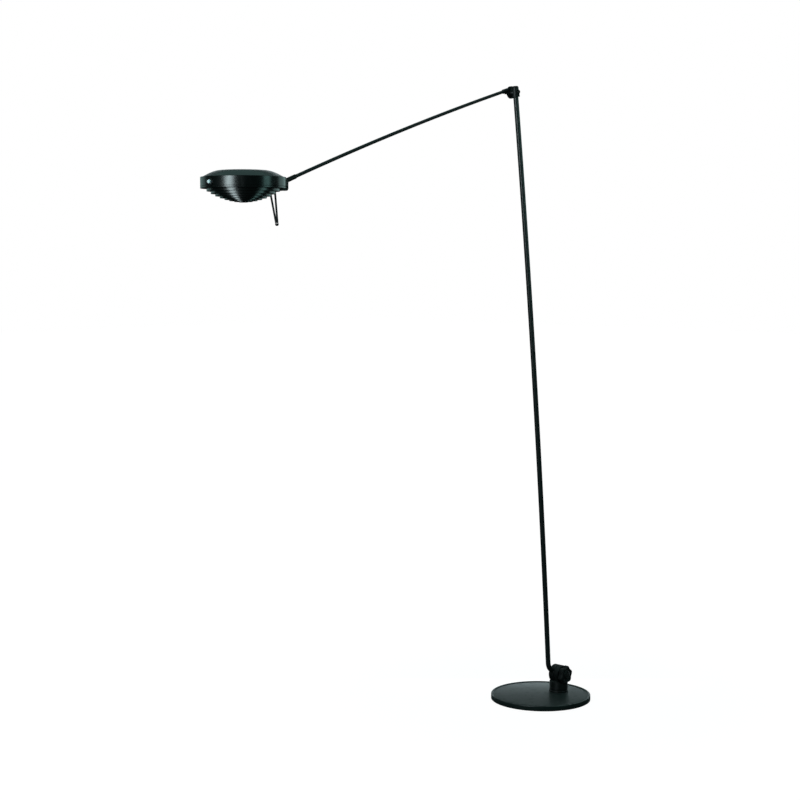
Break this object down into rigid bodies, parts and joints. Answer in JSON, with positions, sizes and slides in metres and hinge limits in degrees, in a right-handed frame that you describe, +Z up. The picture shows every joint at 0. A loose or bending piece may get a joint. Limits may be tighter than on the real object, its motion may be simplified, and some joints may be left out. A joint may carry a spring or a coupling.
{
  "type": "pharmacy floor lamp",
  "caption": "Floor lamp with a round weighted base, clamped swivelling foot joint, leaning stem, drooping arm and a tilting disc-shaped head with a stepped ring louvre.",
  "frame": {"origin": "centre of the base's underside, on the floor", "axes": "+Z up; the arm reaches towards -X; the tilt hinges' axes run along Y and the clamp knob faces -Y"},
  "size_m": [1.346, 0.28, 1.7023],
  "materials": {
    "textured_black_steel": "fine textured satin black paint",
    "black_steel": "satin black paint on steel",
    "black_aluminium": "semi-gloss black lacquer on aluminium",
    "polished_aluminium": "bright anodised",
    "bright_steel": "zinc plated",
    "black_plastic": "moulded, fine texture",
    "white_plastic": "moulded, glossy",
    "ceramic": "unglazed steatite",
    "glass": "clear",
    "rubber": "matt",
    "felt": "felted rubber sheet",
    "steel_plate": "grey primer on flame-cut steel plate"
  },
  "bodies": {
    "base": {"base_pad": "felt", "base_ballast": "steel_plate", "base_cover": "textured_black_steel", "foot_flange": "black_steel", "swivel_bolt": "bright_steel", "swivel_washer": "black_plastic"},
    "turret": {"turret": "black_aluminium", "cord_gland": "rubber", "friction_washer": "rubber"},
    "knob": {"clamp_stud": "bright_steel", "clamp_knob": "black_plastic", "knob_cap": "black_plastic"},
    "stem": {"stem_hub": "black_aluminium", "hub_cap": "black_plastic", "stem_tube": "black_steel", "stem_bell": "black_aluminium", "elbow_washer": "black_plastic", "elbow_bolt": "black_steel", "elbow_nut": "black_steel"},
    "arm": {"arm_knuckle": "black_aluminium", "arm_tube": "black_aluminium", "arm_collar": "black_steel"},
    "wrist": {"head_tongue": "black_aluminium"},
    "head": {"head_band": "black_aluminium", "head_lid": "black_aluminium", "rim_ring": "black_aluminium", "glass_plate": "glass", "louvre_ring_1": "black_aluminium", "louvre_ring_2": "black_aluminium", "louvre_ring_3": "black_aluminium", "louvre_ring_4": "black_aluminium", "louvre_ring_5": "black_aluminium", "louvre_ring_6": "black_aluminium", "louvre_ring_7": "black_aluminium", "louvre_cap": "black_aluminium", "louvre_carrier": "black_aluminium", "reflector": "polished_aluminium", "lamp_holder_left": "ceramic", "lamp_holder_right": "ceramic", "halogen_tube": "glass", "lamp_strip": "bright_steel", "terminal_block": "ceramic", "switch_body": "black_plastic", "switch_collar": "black_steel", "head_bracket": "black_aluminium", "bracket_screw_1": "bright_steel", "bracket_screw_2": "bright_steel", "head_pin": "black_steel", "head_pin_nut": "black_steel", "handle_ferrule_left": "black_steel", "handle_ferrule_right": "black_steel", "handle_rod_left": "black_steel", "handle_rod_right": "black_steel", "handle_tip": "black_plastic"},
    "button": {"push_button": "white_plastic"}
  },
  "joints": [
    {"name": "foot_swivel", "type": "hinge", "parent": "base", "child": "turret", "pos_m": [0.062, -0.016, 0.018], "axis": [0, 0, 1], "range_deg": [-175, 175]},
    {"name": "clamp_turn", "type": "hinge", "parent": "turret", "child": "knob", "pos_m": [0.062, -0.037, 0.063], "axis": [0, -1, 0], "range_deg": [-180, 180]},
    {"name": "stem_tilt", "type": "hinge", "parent": "turret", "child": "stem", "pos_m": [0.062, -0.008, 0.063], "axis": [0, 1, 0], "range_deg": [-6, 16]},
    {"name": "elbow", "type": "hinge", "parent": "stem", "child": "arm", "pos_m": [-0.13793, 0, 1.6856], "axis": [0, 1, 0], "range_deg": [-60, 45]},
    {"name": "wrist_turn", "type": "hinge", "parent": "arm", "child": "wrist", "pos_m": [-0.98638, 0.0075, 1.41672], "axis": [0.9385, 0, 0.3453], "range_deg": [-170, 170]},
    {"name": "head_tilt", "type": "hinge", "parent": "wrist", "child": "head", "pos_m": [-0.98638, 0.0075, 1.41672], "axis": [0, 1, 0], "range_deg": [-50, 90]},
    {"name": "button_press", "type": "slide", "parent": "head", "child": "button", "axis": [1, 0, 0], "range_m": [0, 0.002], "stiffness_N_per_m": 600, "springref_m": -0.001}
  ]
}
